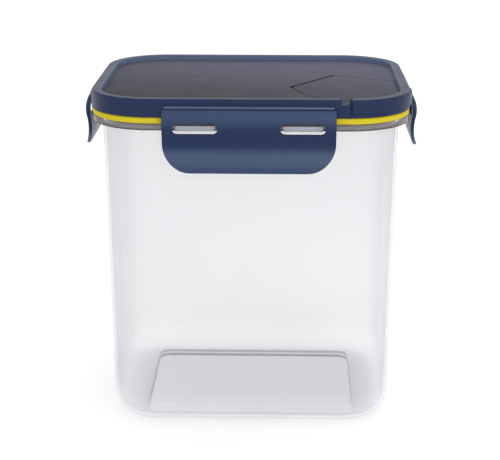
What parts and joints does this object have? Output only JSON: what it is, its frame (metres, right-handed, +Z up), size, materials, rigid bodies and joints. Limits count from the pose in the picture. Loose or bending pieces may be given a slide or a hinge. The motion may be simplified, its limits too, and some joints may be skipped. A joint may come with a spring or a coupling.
{
  "type": "food canister",
  "caption": "Clear rectangular food canister with a navy lid, swinging locking clips, a yellow gasket and a corner pouring flap.",
  "frame": {"origin": "centre of the foot, on the surface the tub stands on", "axes": "+Z up, +X along the long side, the wide front clip faces -Y, the pouring flap is at +X -Y"},
  "size_m": [0.1628, 0.1342, 0.1665],
  "materials": {
    "clear_plastic": "clear, slightly hazy",
    "lid_plastic": "satin",
    "clip_plastic": "satin",
    "silicone": "matt"
  },
  "bodies": {
    "tub": {"tub": "clear_plastic"},
    "lid": {"lid": "lid_plastic", "gasket": "silicone", "flap_film_hinge": "lid_plastic", "front_film_hinge": "lid_plastic", "back_film_hinge": "lid_plastic", "left_film_hinge": "lid_plastic", "right_film_hinge": "lid_plastic"},
    "flap": {"pour_flap": "lid_plastic", "flap_seal": "silicone"},
    "front_clip": {"front_clip": "clip_plastic"},
    "back_clip": {"back_clip": "clip_plastic"},
    "left_clip": {"left_clip": "clip_plastic"},
    "right_clip": {"right_clip": "clip_plastic"}
  },
  "joints": [
    {"name": "lid_lift", "type": "slide", "parent": "tub", "child": "lid", "axis": [0, 0, 1], "range_m": [0, 0.06]},
    {"name": "flap_tip", "type": "hinge", "parent": "lid", "child": "flap", "pos_m": [0.03047, -0.00347, 0.1635], "axis": [-0.5762, -0.8173, 0], "range_deg": [0, 100]},
    {"name": "front_clip_swing", "type": "hinge", "parent": "lid", "child": "front_clip", "pos_m": [0, -0.0614, 0.1627], "axis": [-1, 0, 0], "range_deg": [0, 120]},
    {"name": "back_clip_swing", "type": "hinge", "parent": "lid", "child": "back_clip", "pos_m": [0, 0.0614, 0.1627], "axis": [1, 0, 0], "range_deg": [0, 120]},
    {"name": "left_clip_swing", "type": "hinge", "parent": "lid", "child": "left_clip", "pos_m": [-0.0769, 0, 0.1627], "axis": [0, 1, 0], "range_deg": [0, 120]},
    {"name": "right_clip_swing", "type": "hinge", "parent": "lid", "child": "right_clip", "pos_m": [0.0769, 0, 0.1627], "axis": [0, -1, 0], "range_deg": [0, 120]}
  ]
}
